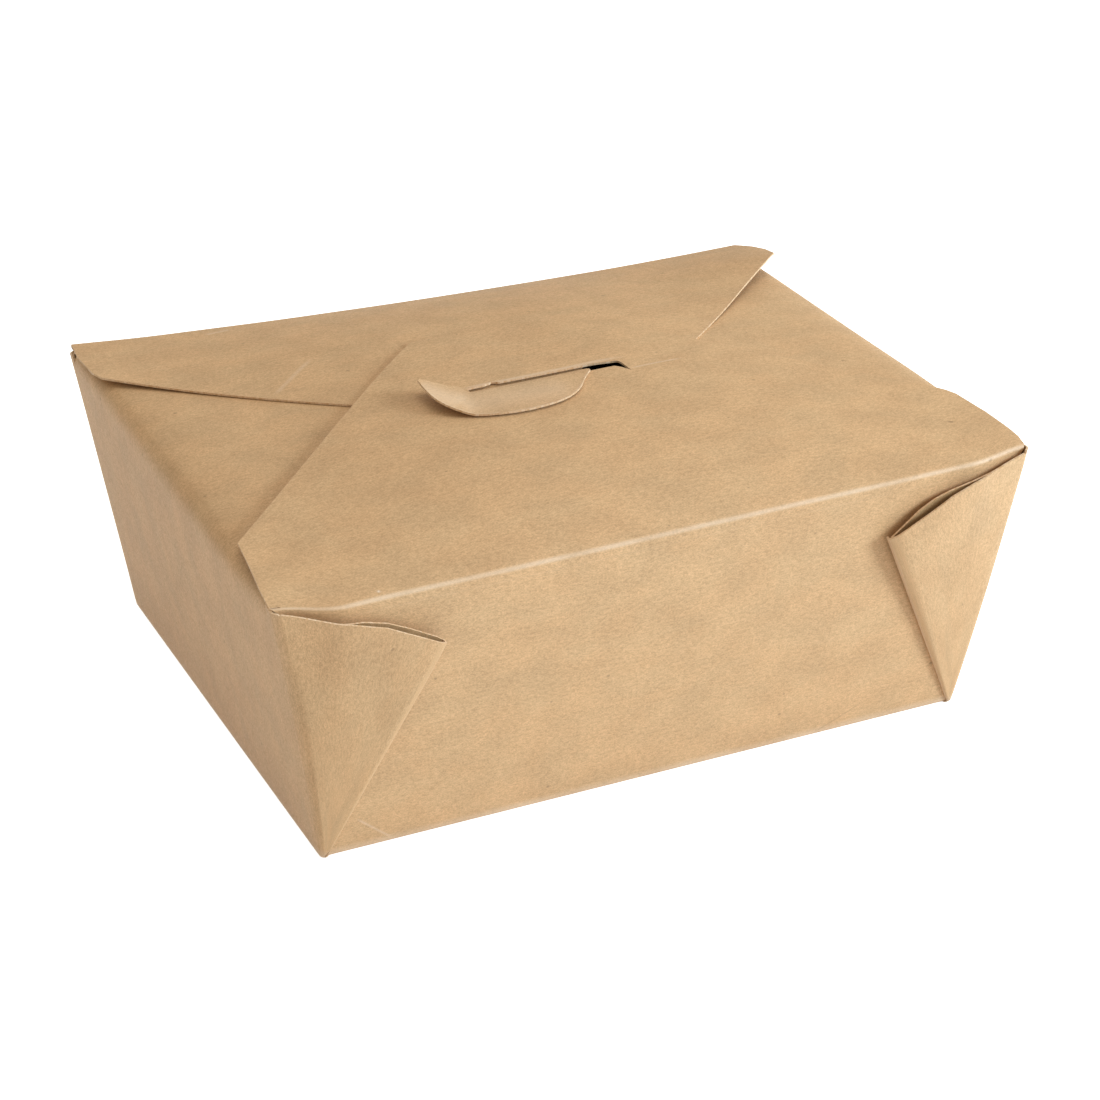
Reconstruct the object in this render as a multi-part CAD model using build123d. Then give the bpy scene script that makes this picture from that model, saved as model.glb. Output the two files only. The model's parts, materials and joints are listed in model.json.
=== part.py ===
from build123d import *
import os
from math import hypot, sqrt

# A food carton folded from one sheet of kraft board, closed.
# The origin is the middle of its base, X runs along the long walls, the front wall faces -Y.
# Each long wall carries two corner pleats on its outside: the board turns back along the wall,
# turns again at a slanted fold and runs round the corner into the end wall.
# The end flaps lie lowest, then the back flap, then the front flap.
# The back flap's tongue comes up through the front flap's slit and locks the lid.

# Board
card = 0.45  # thickness
fold_bead = 0.26  # radius of the ridge along a pressed fold line
lap = 0.03  # how much thicker a sheet is where it laps the end of another, so that they fuse

# The tray, as sizes of the base's outside and of the rim's fold lines
base_length = 152.4
base_width = 120.65
rim_length = 173.4
rim_width = 131.0
height = 63.5

# Corner pleats
layer_pitch = 0.8  # from the middle of one layer to the next, at the rim
foot_pitch = 0.6  # the same at the base, where the folds are squeezed
foot_reach = 1.6  # from the corner back to the slanted fold, at the base
tip_reach = 32.8  # the same at the pleat's tip
tip_height = 48.3
mouth_wide = 3.0  # how far the outer layer bows off the inner one
mouth_slim = 1.6
mouth_room = 12.0  # depth of the cut that frees the layers' top edges

# Lid, with heights above the base of the middle of the board
front_wall_top = 63.09  # stops just under the front flap's fold
end_fold_height = 62.9  # the end flaps fold a little lower than the long ones
lid_rise = 8.9  # how far the middle of the closed lid stands over the rim
lid_crown = 2.7  # power of its curve from fold to fold: 2 is round, more is flatter on top
level_half = 18.0  # the lid is level this far to each side, so that slit and tongue lie flat
end_fall = 0.56  # share of the rise that it has lost at its ends
flap_sink = 0.8  # how much lower the back flap lies, under the front one
fold_half = 86.0  # half the length of the two long folds

front_shoulder = -41.0
front_edge = 26.3
front_edge_half = 18.2
front_edge_crown = 0.5
front_shoulder_round = 4.0
back_shoulder = 46.0
back_shoulder_round = 2.0
back_edge = -1.6
back_edge_half = 36.1

end_roll = 5.0  # radius of the soft bend between end wall and end flap
end_post = 62.5  # the bend spans between the stiff corners
end_slope = 0.08  # the end flaps rise inwards, up to the lid that they carry
end_flap_reach = 62.0
end_flap_half = 26.0
end_taper_start = 7.6

# Slit in the front flap
slit_half = 18.4
slit_rear = -2.85
slit_front = -5.5
hook_front = -9.0
hook_width = 1.2
hook_flare = 0.2

# Tongue on the back flap
neck_left = -17.3
neck_right = 11.4
neck_run = 1.0  # how far it lies flat before it rises through the slit
blade_stations = (-5.6, -13.0, -21.5)  # y of its root, middle and end on top of the front flap
blade_gap = 0.2  # how far it lies off the front flap
blade_x, blade_y = -9.5, -2.0  # centre of the blade's round edge
blade_radius = 18.3
barb_fold = -19.5
barb_cheek = -27.0
barb_tip = (-27.6, -0.8)
barb_notch = (-20.4, -6.6)
barb_lift = 15.0  # degrees that the barb stands off the lid

half_rim_x = rim_length / 2
half_rim_y = rim_width / 2
half_foot_x = (base_length - card) / 2
half_foot_y = (base_width - card) / 2
post_x = half_rim_x - layer_pitch + card  # inside of the stiff strip at each corner
bend_start = end_fold_height - end_roll - 2 * card
rim_reach = foot_reach + (tip_reach - foot_reach) * height / tip_height
far = 200.0  # longer than the carton, for cutting shapes
dome_columns, dome_rows = 24, 10  # how finely the lid's formula is sampled
dome_fit = 0.005


def pleat(half_x, half_y, pitch, reach, mouth):
    """The board's middle line round one corner, from the long wall to the end wall."""
    turn = half_x - reach
    return [
        (half_x - pitch, half_y),
        (half_x - pitch, half_y + pitch),
        (turn, half_y + pitch),
        (turn, half_y + 2 * pitch),
        (half_x - reach / 2, half_y + 2 * pitch + mouth),
        (half_x, half_y + 2 * pitch),
    ]


def wall_line(half_x, half_y, pitch, reach, open_by):
    """The middle line of all four walls, seen from above, anticlockwise."""
    line = []
    for side_x, side_y in ((1, -1), (1, 1), (-1, 1), (-1, -1)):
        wide = side_x * side_y < 0
        mouth = open_by * (mouth_wide if wide else mouth_slim)
        corner = pleat(half_x, half_y, pitch, reach, mouth)
        if side_x * side_y > 0:
            corner.reverse()
        line += [(side_x * x, side_y * y) for x, y in corner]
    return line


def moved_out(line, distance):
    """A closed anticlockwise line, moved outwards with mitred corners."""
    moved = []
    for before, here, after in zip(line[-1:] + line[:-1], line, line[1:] + line[:1]):
        normals = []
        for start, end in ((before, here), (here, after)):
            run = hypot(end[0] - start[0], end[1] - start[1])
            normals.append(((end[1] - start[1]) / run, (start[0] - end[0]) / run))
        (ax, ay), (bx, by) = normals
        mitre = distance / (1 + ax * bx + ay * by)
        moved.append((here[0] + mitre * (ax + bx), here[1] + mitre * (ay + by)))
    return moved


def flat_face(points):
    return Face(Wire.make_polygon(points, close=True))


foot_line = wall_line(half_foot_x, half_foot_y, foot_pitch, foot_reach, 0)
rim_line = wall_line(half_rim_x, half_rim_y, layer_pitch, rim_reach, 1)


def flared_block(distance):
    """A block that fills the walls' middle lines, grown by a distance."""
    foot = [Vector(x, y, 0) for x, y in moved_out(foot_line, distance)]
    rim = [Vector(x, y, height) for x, y in moved_out(rim_line, distance)]
    faces = [flat_face(foot), flat_face(rim)]
    for i in range(len(foot)):
        a, b, c, d = foot[i - 1], foot[i], rim[i], rim[i - 1]
        twist = (b - a).cross(d - a).dot(c - a)
        sides = [(a, b, c, d)] if abs(twist) < card**3 else [(a, b, c), (a, c, d)]
        faces += [flat_face(side) for side in sides]
    return Solid(Shell(faces))


def above(outline, depth=far):
    """What lies above an outline drawn at the level of the base."""
    return extrude(outline, depth, dir=(0, 0, 1))


def block(low, high):
    """A box between two corners."""
    size = [b - a for a, b in zip(low, high)]
    return Pos(*low) * Box(*size, align=(Align.MIN, Align.MIN, Align.MIN))


def pleat_cutter(side_x, side_y):
    """What is cut off a pleat, above the free edge that runs from the rim corner to its tip."""
    lean = half_rim_y - half_foot_y
    slant = hypot(height, lean) / height
    outward = (0, side_y * height, -lean)
    wall = Plane(origin=(0, side_y * half_foot_y, 0), x_dir=(-side_y, 0, 0), z_dir=outward)
    tip_x = half_foot_x + (half_rim_x - half_foot_x) * tip_height / height - tip_reach
    slope = (end_fold_height - tip_height) / (half_rim_x - tip_x)
    edge = [(x, (tip_height + slope * (x - tip_x)) * slant) for x in (post_x, 0)]
    outline = edge + [(0, far), (post_x, far)]
    hand = -side_x * side_y
    face = make_face(Polyline(*[(hand * x, up) for x, up in outline], close=True))
    return extrude(wall.offset(card) * face, mouth_room)


def tray():
    """Base, four flaring walls and four corner pleats."""
    walls = flared_block(card / 2) - flared_block(-card / 2)
    for side_x in (-1, 1):
        for side_y in (-1, 1):
            walls -= pleat_cutter(side_x, side_y)
        # the end wall stops at its fold, and lower between the corners, where it bends softly
        low_x, high_x = sorted((side_x * post_x, side_x * far))
        walls -= block((low_x, -far, end_fold_height), (high_x, far, far))
        low_x, high_x = sorted((side_x * half_foot_x, side_x * far))
        walls -= block((low_x, -end_post, bend_start), (high_x, end_post, far))
    walls -= block((-far, -far, front_wall_top), (far, -half_rim_y / 2, far))
    base = above(flat_face([(x, y, 0) for x, y in moved_out(foot_line, card / 2)]), card)
    return walls + base


def lid_height(x, y, sink=0.0):
    """The height of the closed lid, in the middle of the board: a dome, level in the middle."""
    past = min(max((abs(x) - level_half) / (fold_half - level_half), 0), 1)
    along = 1 - end_fall * past**2 * (3 - 2 * past)
    across = 1 - (abs(y) / half_rim_y) ** lid_crown
    return height + (lid_rise * along - sink) * across


def domed_sheet(fold_y, edge_y, sink):
    """The board between a long fold and a flap's far edge, sampled from the lid's formula."""
    columns = [half_rim_x * (2 * i / dome_columns - 1) for i in range(dome_columns + 1)]
    rows = [fold_y + (edge_y - fold_y) * i / dome_rows for i in range(dome_rows + 1)]
    under = [[Vector(x, y, lid_height(x, y, sink) - card / 2) for x in columns] for y in rows]
    face = Face.make_surface_from_array_of_points(under, tol=dome_fit, min_deg=3, max_deg=5)
    return Solid.extrude(face, Vector(0, 0, card))


def bent_sheet(path):
    """A wide sheet of board bent along a path of y and height."""
    return extrude(Plane.YZ * trace(path, line_width=card), half_rim_x, both=True)


def domed_flap(fold_y, edge_y, sink, outline):
    """A long flap: a domed sheet cut to its outline seen from above, with its fold's ridge."""
    past_y = edge_y + (1 if edge_y > fold_y else -1)
    flap = domed_sheet(fold_y, past_y, sink) & above(outline)
    bead = Cylinder(fold_bead, 2 * fold_half, rotation=(0, 90, 0))
    return flap + Pos(0, fold_y, height) * bead


def back_flap():
    points = [
        (fold_half, half_rim_y),
        (fold_half, back_shoulder),
        (back_edge_half, back_edge),
    ]
    mirrored = [(-x, y) for x, y in reversed(points)]
    outline = make_face(Polyline(*points, *mirrored, close=True))
    outline = fillet(outline.vertices().group_by(Axis.Y)[1], back_shoulder_round)
    return domed_flap(half_rim_y, back_edge, flap_sink, outline)


def slit():
    """The cut that takes the tongue, with its hooked ends."""
    half = [
        (slit_half, slit_rear),
        (slit_half + hook_flare, hook_front),
        (slit_half - hook_width, slit_front - hook_width),
        (slit_half - 2 * hook_width, slit_front),
    ]
    mirrored = [(-x, y) for x, y in reversed(half)]
    return make_face(Polyline(*half, *mirrored, close=True))


def front_flap():
    side = Polyline(
        (fold_half, -half_rim_y), (fold_half, front_shoulder), (front_edge_half, front_edge)
    )
    rear = ThreePointArc(
        (front_edge_half, front_edge),
        (0, front_edge + front_edge_crown),
        (-front_edge_half, front_edge),
    )
    root = Line((-fold_half, -half_rim_y), (fold_half, -half_rim_y))
    outline = make_face([*side.edges(), *rear.edges(), *mirror(side, Plane.YZ).edges(), *root.edges()])
    outline = fillet(outline.vertices().group_by(Axis.Y)[1], front_shoulder_round)
    edge = front_edge + front_edge_crown
    return domed_flap(-half_rim_y, edge, 0, outline - slit())


def end_flap(side):
    """An end flap with the soft bend that carries it, on the side at -X or +X."""
    wall_slope = (half_rim_x - half_foot_x) / height
    foot_level = bend_start - card
    fold_x = half_foot_x + wall_slope * end_fold_height
    foot_x = half_foot_x + wall_slope * foot_level
    reach = end_flap_reach + card
    edge = (fold_x - reach, end_fold_height + end_slope * reach)
    section = FilletPolyline((foot_x, foot_level), (fold_x, end_fold_height), edge, radius=end_roll)
    sheet = extrude(Plane.XZ * trace(section, line_width=card + lap), end_post, both=True)
    half = [
        (half_rim_x + end_roll, end_post),
        (fold_x - end_roll, end_post),
        (fold_x - end_taper_start, end_post - end_roll),
        (fold_x - end_flap_reach, end_flap_half),
    ]
    mirrored = [(x, -y) for x, y in reversed(half)]
    flap = sheet & above(make_face(Polyline(*half, *mirrored, close=True)))
    return flap if side > 0 else mirror(flap, Plane.YZ)


def carton():
    """All of the sheet that stays put: tray, end flaps and back flap."""
    return tray() + end_flap(1) + end_flap(-1) + back_flap()


def tongue_path():
    """The tongue's middle line as y and height: out of the back flap, up, and along the lid."""
    level = lid_height(0, back_edge, flap_sink)
    blade_line = [(y, lid_height(0, y) + card + blade_gap) for y in blade_stations]
    return [(back_edge, level), (back_edge - neck_run, level)] + blade_line


def barb_edge(x):
    """The point of the barb's round edge at x, a hair inside the blade's so that they fuse."""
    return (x, blade_y - sqrt((blade_radius - lap) ** 2 - (x - blade_x) ** 2))


def blade():
    """The neck that rises through the slit, and the round blade that lies on the front flap."""
    root_y = blade_stations[0]
    neck = Rectangle(neck_right - neck_left, back_edge - root_y,
                     align=(Align.MIN, Align.MIN))
    round_end = Pos(blade_x, blade_y) * Circle(blade_radius)
    round_end &= Pos(barb_fold - card, root_y) * Rectangle(far, far, align=(Align.MIN, Align.MAX))
    outline = Pos(neck_left, root_y) * neck + round_end
    return bent_sheet(Polyline(*tongue_path())) & above(outline)


def barb():
    """The left end of the blade, bent up along a crease and drawn out to a point."""
    blade_line = tongue_path()[2:]
    root_height = blade_line[0][1]
    path = Polyline((-barb_tip[1], root_height), *blade_line)
    crease = barb_fold + card
    edge = ThreePointArc(*[barb_edge(x) for x in (crease, (crease + barb_cheek) / 2, barb_cheek)])
    sides = Polyline(barb_edge(barb_cheek), barb_tip, barb_notch, (crease, barb_notch[1]),
                     barb_edge(crease))
    outline = make_face([*edge.edges(), *sides.edges()])
    hinge = Axis((barb_fold, 0, root_height), (0, 1, 0))
    return bent_sheet(path).rotate(hinge, barb_lift) & above(outline)


def lock_tongue():
    """The end of the back flap that lies on the front flap once it is through the slit."""
    return blade() + barb()


if __name__ == "__main__":
    os.makedirs("parts", exist_ok=True)
    for name, make in (("carton", carton), ("front_flap", front_flap), ("lock_tongue", lock_tongue)):
        shape = make()
        print(name, "solids", len(shape.solids()), "volume", round(shape.volume, 1),
              "valid", shape.is_valid)
        export_step(shape, f"parts/{name}.step")
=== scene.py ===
import json
from math import cos, exp, pi, radians, sin
import bmesh
import bpy
from mathutils import Matrix, Vector, noise
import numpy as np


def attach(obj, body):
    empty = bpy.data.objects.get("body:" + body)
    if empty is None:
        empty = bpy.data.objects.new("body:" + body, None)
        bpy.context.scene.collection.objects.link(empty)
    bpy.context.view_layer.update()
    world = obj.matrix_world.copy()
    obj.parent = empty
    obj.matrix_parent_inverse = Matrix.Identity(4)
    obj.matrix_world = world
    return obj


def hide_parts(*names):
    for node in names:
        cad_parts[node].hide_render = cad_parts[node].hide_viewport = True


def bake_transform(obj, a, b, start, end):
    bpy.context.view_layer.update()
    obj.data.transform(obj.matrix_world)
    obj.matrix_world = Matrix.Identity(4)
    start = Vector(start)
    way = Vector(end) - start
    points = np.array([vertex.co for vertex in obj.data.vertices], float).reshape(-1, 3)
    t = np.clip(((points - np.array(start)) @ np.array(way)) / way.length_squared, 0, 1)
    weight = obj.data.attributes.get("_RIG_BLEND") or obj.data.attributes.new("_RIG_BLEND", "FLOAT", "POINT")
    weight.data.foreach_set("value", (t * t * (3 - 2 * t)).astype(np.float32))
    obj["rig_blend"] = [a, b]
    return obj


# A closed food carton of kraft board, one folded sheet.
# Sizes are in millimetres up to the moment a piece is finished, when its mesh is scaled to metres.
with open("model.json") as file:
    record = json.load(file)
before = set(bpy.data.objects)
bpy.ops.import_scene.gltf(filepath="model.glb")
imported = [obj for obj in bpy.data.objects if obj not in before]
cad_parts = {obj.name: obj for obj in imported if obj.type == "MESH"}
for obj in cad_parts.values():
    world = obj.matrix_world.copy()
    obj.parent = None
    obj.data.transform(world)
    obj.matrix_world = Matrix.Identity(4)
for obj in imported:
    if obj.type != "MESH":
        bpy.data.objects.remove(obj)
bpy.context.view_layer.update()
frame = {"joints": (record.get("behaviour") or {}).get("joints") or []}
mm = 0.001
hingeAt = [value / mm for value in frame["joints"][0]["pos_m"]]

board = {
    "thickness": 0.45,
    "edgeSlots": ("kraftOutside", "kraftInside", "cutEdge"),
    "waviness": 0.11,  # how far the board is from flat
    "wave": 0.035,  # waves to a millimetre
    "waveShifts": ((9.3, -1.5, -7.9), (0.0, 0.0, 0.0), (4.7, 3.1, 5.5)),  # one for each direction
    "waveStart": 6.0,  # height over the base where the waves set in fully
    "rimPale": 0.3,  # how far the board is rubbed beside its cut edges
    "crease": {"tipTurn": 0.9, "corner": 0.35},  # how far the upright folds are crushed
    "weld": 0.001,
    "sharpAngle": 50,
}

tray = {
    "footHalfX": 75.975,  # middle of the board, at the base and at the rim
    "footHalfY": 60.1,
    "rimHalfX": 86.7,
    "rimHalfY": -hingeAt[1],
    "height": hingeAt[2],
    "baseBend": 0.8,
    "footPitch": 0.34,  # from the middle of one pleat layer to the next
    "rimPitch": 0.9,
    "footReach": 0.5,
    "tipReach": 31.6,  # the pleat's tip, back from the corner, and on the right
    "wideReach": 33.0,
    "tipHeight": 51.2,
    "footRound": 0.9,  # the upright corners, tighter at the base
    "rimRound": 1.9,
    "tuck": 0.35,
    "longBulge": 0.9,
    "endBulge": 0.9,
    "bulgeRound": 0.8,  # power of the bulge over the wall's height
    "wallSlope": 1.007,  # length of the slanting wall over its height
    "cornerLift": 0.7,  # how far the tops of the right corners stand up
    "cornerStart": 82.0,
    "cornerRise": (58.0, 62.3),
    "cornerCap": 62.65,
    "backCap": 61.5,
    "postRows": (61.9, 62.5, 63.1),
    "bendStart": 59.4,  # where the end walls begin their soft bend
    "postTop": 62.9,
    "seam": 61.0,  # the front flap's own mesh begins here
    "seamTop": 61.8,
    "foldRound": 0.8,
    "pinch": 0.8,  # how far the front fold sinks at its left end, where it was pressed flat
    "backPinch": -0.24,
    "pinchRun": (64.0, 86.0),
    "pinchFade": 9.0,
    "mouthWide": 1.2,  # how far the right pleats' outer layer bows out, and the left ones'
    "mouthSlim": 0.7,
    "mouthRun": (51.0, 77.0),
    "standWide": 1.9,  # how far the folded pleats stand off the wall at their tips
    "standSlim": 3.0,
    "standFade": 1.3,
    "underStand": 0.65,  # what the layer under the outer one takes of that, and of the bow
    "underBow": 0.25,
    "tipRound": 0.35,
    "mouthDepth": 15.0,
    # Free edges of the pleats' layers, as distance from the middle and height
    "slimOuter": ((51.8, 51.8), (57.6, 54.8), (64.4, 58.4), (72.0, 60.6), (88.0, 63.0)),
    "slimUnder": ((51.3, 51.1), (53.6, 53.0), (59.4, 56.3), (64.1, 58.6), (69.0, 59.9), (88.0, 61.4)),
    "wideOuter": ((50.2, 50.6), (58.2, 55.0), (65.4, 58.8), (71.0, 60.4), (88.0, 63.1)),
    "wideUnder": ((51.5, 50.4), (58.3, 56.1), (62.0, 58.1), (65.9, 59.2), (73.6, 60.4), (88.0, 61.6)),
    # Lengths of board round a corner, along a pleat's layer and round its tip
    "cornerLength": 3.0,
    "layerLength": 30.0,
    "tipLength": 1.0,
}

lid = {
    "rise": 8.9,
    "crown": 2.7,  # how flat the dome is on top
    "levelHalf": 12.0,
    "fallHalf": 86.0,
    "endFall": 0.56,
    "lean": 0.75,  # the right half has stayed fuller than the left
    "leanRun": 33.0,
    "curl": 2.6,  # the back flap's right end has sprung up
    "curlRun": (44.0, 87.0),
    "curlDepth": 30.0,
    "curlEase": 19.0,
    "backDrop": 0.8,  # the back flap lies under the front one
    "backReach": -1.6,
    "widen": 0.026,  # the long flaps stand a little over the tray's corners
    "widenRun": 14.0,
    "foldSpare": (0.010, 0.006),  # so do their folds, left and right
    "foldClear": 0.9,  # the front flap's outline is cut from here on and not on the wall
    "spareRun": 2.5,  # board beyond the outline, to be cut off
    "endGap": 0.58,  # the end flaps press up against the back flap
    "endRun": (6.5, 3.0),  # how soon they rise from their bends, left and right
    "endRunSpan": (-40.0, 45.0),
    "sideDrop": 0.1,  # the right one lies close under the front flap
    "sideDropSpan": (-35.0, 30.0),
    "leastRise": 0.8,
    "endRoot": 57.5,
    "endPitch": 2.4,
    "endReach": 62.0,
    "endHalf": 26.0,
    "endTaper": 7.6,
}

counts = {"long": 38, "turn": 5, "under": 20, "outer": 20, "corner": 7, "end": 28, "bend": 8}


def smooth(low, high, value):
    share = max(0.0, min(1.0, (value - low) / (high - low)))
    return share * share * (3 - 2 * share)


def mix(a, b, share):
    return a + (b - a) * share


# Where the walls run, seen from above, in one quarter of the tray
regions = []
for part, steps in (("long", counts["long"]), ("tuckTurn", counts["turn"]), ("under", counts["under"]),
                    ("tipTurn", counts["turn"]), ("outer", counts["outer"]),
                    ("corner", counts["corner"]), ("end", counts["end"])):
    regions += [(part, (step + 1) / steps) for step in range(steps)]


# The outer layer stands off near its free edge
def mouthBow(x, z, wide):
    line = tray["wideOuter" if wide else "slimOuter"]
    edge = line[0][1]
    for (startX, startZ), (endX, endZ) in zip(line, line[1:]):
        if x > startX:
            edge = mix(startZ, endZ, (x - startX) / (endX - startX))
    start, end = tray["mouthRun"]
    along = max(0.0, min(1.0, (x - start) / (end - start)))
    below = max(0.0, edge - z) / tray["mouthDepth"]
    return (tray["mouthWide"] if wide else tray["mouthSlim"]) * sin(pi * along) * exp(-below * below)


# A point of the walls' middle in the quarter where x and y are both positive
def quarterPoint(part, share, up, wide):
    z = up * tray["height"]
    halfX = mix(tray["footHalfX"], tray["rimHalfX"], up)
    halfY = mix(tray["footHalfY"], tray["rimHalfY"], up)
    pitch = mix(tray["footPitch"], tray["rimPitch"], up)
    reach = mix(tray["footReach"], tray["wideReach" if wide else "tipReach"], z / tray["tipHeight"])
    turn = halfX - reach
    corner = mix(tray["footRound"], tray["rimRound"], up)
    tuckX = halfX - pitch - tray["tuck"]
    stand = tray["standWide" if wide else "standSlim"] * min(1.0, max(0.0, z / tray["tipHeight"]))
    if part == "long":
        return share * tuckX, halfY
    if part == "tuckTurn":
        angle = pi * (share - 0.5)
        return tuckX + pitch / 2 * cos(angle), halfY + pitch / 2 * (1 + sin(angle))
    if part == "under":
        x = mix(tuckX, turn, share)
        bow = tray["underBow"] * mouthBow(x, z, wide)
        return x, halfY + pitch + bow + tray["underStand"] * stand * share
    inner = halfY + pitch + tray["underBow"] * mouthBow(turn, z, wide) + tray["underStand"] * stand
    outer = halfY + 2 * pitch + mouthBow(turn, z, wide) + stand
    if part == "tipTurn":
        angle = -pi * (share + 0.5)
        width = outer - inner
        return turn + tray["tipRound"] * width * cos(angle), (inner + outer) / 2 + width / 2 * sin(angle)
    if part == "outer":
        x = mix(turn, halfX - corner, share)
        return x, halfY + 2 * pitch + mouthBow(x, z, wide) + stand * (1 - share) ** tray["standFade"]
    if part == "corner":
        angle = pi / 2 * (1 - share)
        return halfX - corner * (1 - cos(angle)), halfY + 2 * pitch - corner * (1 - sin(angle))
    return halfX, (halfY + 2 * pitch - corner) * (1 - share)


# The whole way round, anticlockwise from the middle of the front wall
columns = []
for signX, signY, backwards in ((1, -1, False), (1, 1, True), (-1, 1, False), (-1, -1, True)):
    line = [(part, share, signX, signY) for part, share in regions]
    if backwards:
        line = line[-2::-1] + [("long", 0.0, signX, signY)]
    columns += line


def wallPoint(column, z, inset=0.0):
    part, share, signX, signY = columns[column]
    up = z / tray["height"]
    x, y = quarterPoint(part, share, up, signX * signY < 0)
    x, y = x - inset, y - inset
    swell = sin(pi * up) ** tray["bulgeRound"] if 0 < up < 1 else 0.0
    if part in ("long", "under", "outer"):
        y += tray["longBulge"] * swell * (1 - (x / tray["rimHalfX"]) ** 4)
    if part == "end":
        x += tray["endBulge"] * swell * (1 - (y / tray["rimHalfY"]) ** 4)
    if signX > 0 and part in ("outer", "corner"):
        risen = smooth(*tray["cornerRise"], z)
        z += tray["cornerLift"] * smooth(tray["cornerStart"], tray["rimHalfX"], x) * risen
    if part == "long" and share == 0.0:
        x = 0.0
    if part == "end" and share == 1.0:
        y = 0.0
    return Vector((signX * x, signY * y, z))


# Where a column's point lies on the flat blank
def sheetPlace(column, climb):
    part, share, signX, signY = columns[column]
    if part in ("long", "tuckTurn"):
        x = quarterPoint("long", share if part == "long" else 1, 0.5, False)[0]
        return Vector((signX * x, signY * (tray["footHalfY"] + climb), 0))
    along = tray["rimHalfY"]
    if part == "end":
        along *= 1 - share
    elif part == "corner":
        along += tray["cornerLength"] * (1 - share)
    elif part == "outer":
        along += tray["cornerLength"] + tray["layerLength"] * (1 - share)
    else:
        along += tray["cornerLength"] + tray["layerLength"] * (1 + share) + tray["tipLength"]
    return Vector((signX * (tray["footHalfX"] + climb), signY * along, 0))


# How far the back flap's right end has sprung up
def springUp(x, y):
    return lid["curl"] * smooth(*lid["curlRun"], x) * smooth(0, lid["curlDepth"], y)


# Height of the domed lid over the rim
def lidRise(x, y, drop=0.0):
    along = 1 - lid["endFall"] * smooth(lid["levelHalf"], lid["fallHalf"], abs(x))
    across = 1 - min(1.0, abs(y) / tray["rimHalfY"]) ** lid["crown"]
    rise = lid["rise"] * along - drop + lid["lean"] * sin(x / lid["leanRun"])
    curl = 0.0
    if drop and y > 0:
        curl = springUp(x, y) * min(1.0, (tray["rimHalfY"] - y) / lid["curlEase"])
    return rise * across + curl


# Height of an end flap: up from its bend, then pressed under the long flaps
def endRise(x, y, run):
    drop, soon = lid["backDrop"], lid["endRun"][0]
    if x > 0:
        drop = mix(lid["sideDrop"], drop, smooth(*lid["sideDropSpan"], y))
        soon = mix(lid["endRun"][1], soon, smooth(*lid["endRunSpan"], y))
    flat = lidRise(x, y, drop) - springUp(x, y)
    roof = tray["height"] + max(flat, lid["leastRise"]) - lid["endGap"]
    climb = 1 - exp(-max(0.0, run) / soon)
    return tray["postTop"] + (roof - tray["postTop"]) * climb


# The sheet's real set: the rim is a little skewed, bowed and lifted at its corners
rack = {
    "frontLeftEar": (-0.5, 2.4, 1.0),
    "frontRightEar": (2.0, 2.0, 0.6),
    "earReach": 15.0,
    "earDepth": 22.5,
    "frontLeft": (-0.3, -0.9, -0.5),
    "frontRight": (1.8, -0.2, 0.2),
    "backLeft": (1.4, 7.3, 0.6),
    "backRight": (-3.0, -3.6, 0.0),
    "backSag": (0.0, -2.2, -0.8),
    "frontLeftFoot": (-1.0, 0.8, 0.0),
    "frontRightFoot": (0.2, 0.9, 0.0),
    "backLeftFoot": (-1.0, -1.2, 0.0),
    "backRightFoot": (0.0, 0.0, 0.0),
}


# A slow wave in the board, the same in each run
def rippleAt(point):
    place = Vector(point) * board["wave"]
    return Vector([noise.noise(place + Vector(shift)) for shift in board["waveShifts"]]) * board["waviness"]


# Moves a point of the ideal carton to where the real sheet has settled
def setOf(point):
    x, y, z = point
    left = 0.5 - x / (2 * tray["rimHalfX"])
    back = 0.5 + y / (2 * tray["rimHalfY"])
    front = Vector(rack["frontLeft"]) * left + Vector(rack["frontRight"]) * (1 - left)
    ear = smooth(tray["rimHalfX"] - rack["earReach"], tray["rimHalfX"], abs(x))
    ear *= smooth(rack["earDepth"] - tray["rimHalfY"], -tray["rimHalfY"], y)
    front = front.lerp(Vector(rack["frontLeftEar" if x < 0 else "frontRightEar"]), ear)
    rear = Vector(rack["backLeft"]) * left + Vector(rack["backRight"]) * (1 - left)
    rear += Vector(rack["backSag"]) * (1 - (2 * left - 1) ** 2)
    share = max(0.0, min(1.1, z / tray["height"]))
    moved = Vector(point) + (front * (1 - back) + rear * back) * share
    foot = (Vector(rack["frontLeftFoot"]) * left + Vector(rack["frontRightFoot"]) * (1 - left)) * (1 - back)
    foot += (Vector(rack["backLeftFoot"]) * left + Vector(rack["backRightFoot"]) * (1 - left)) * back
    moved += foot * max(0.0, 1 - share) ** 2
    return moved + rippleAt(point) * smooth(0, board["waveStart"], z)


# Edit-mode helpers
def onlyObject(item):
    bpy.ops.object.select_all(action="DESELECT")
    item.select_set(True)
    bpy.context.view_layer.objects.active = item


def editStart(item):
    onlyObject(item)
    bpy.ops.object.mode_set(mode="EDIT")
    bpy.ops.mesh.select_mode(type="EDGE")


# Extrudes the selected edges once and puts each new corner in its place
def pullEdge(place, labelOf):
    bpy.ops.mesh.extrude_edges_indiv()
    data = bpy.context.object.data
    mesh = bmesh.from_edit_mesh(data)
    column = mesh.verts.layers.int["column"]
    row = mesh.verts.layers.int["row"]
    sheet = mesh.verts.layers.float_vector["sheet"]
    crease = mesh.verts.layers.float["crease"]
    faces = set()
    for corner in [v for v in mesh.verts if v.select]:
        corner.co, corner[sheet], corner[crease] = place(corner[column], corner)
        corner[row] += 1
        faces.update(corner.link_faces)
    for face in faces:
        face.material_index = labelOf([v[column] for v in face.verts])
    bmesh.update_edit_mesh(data)


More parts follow.
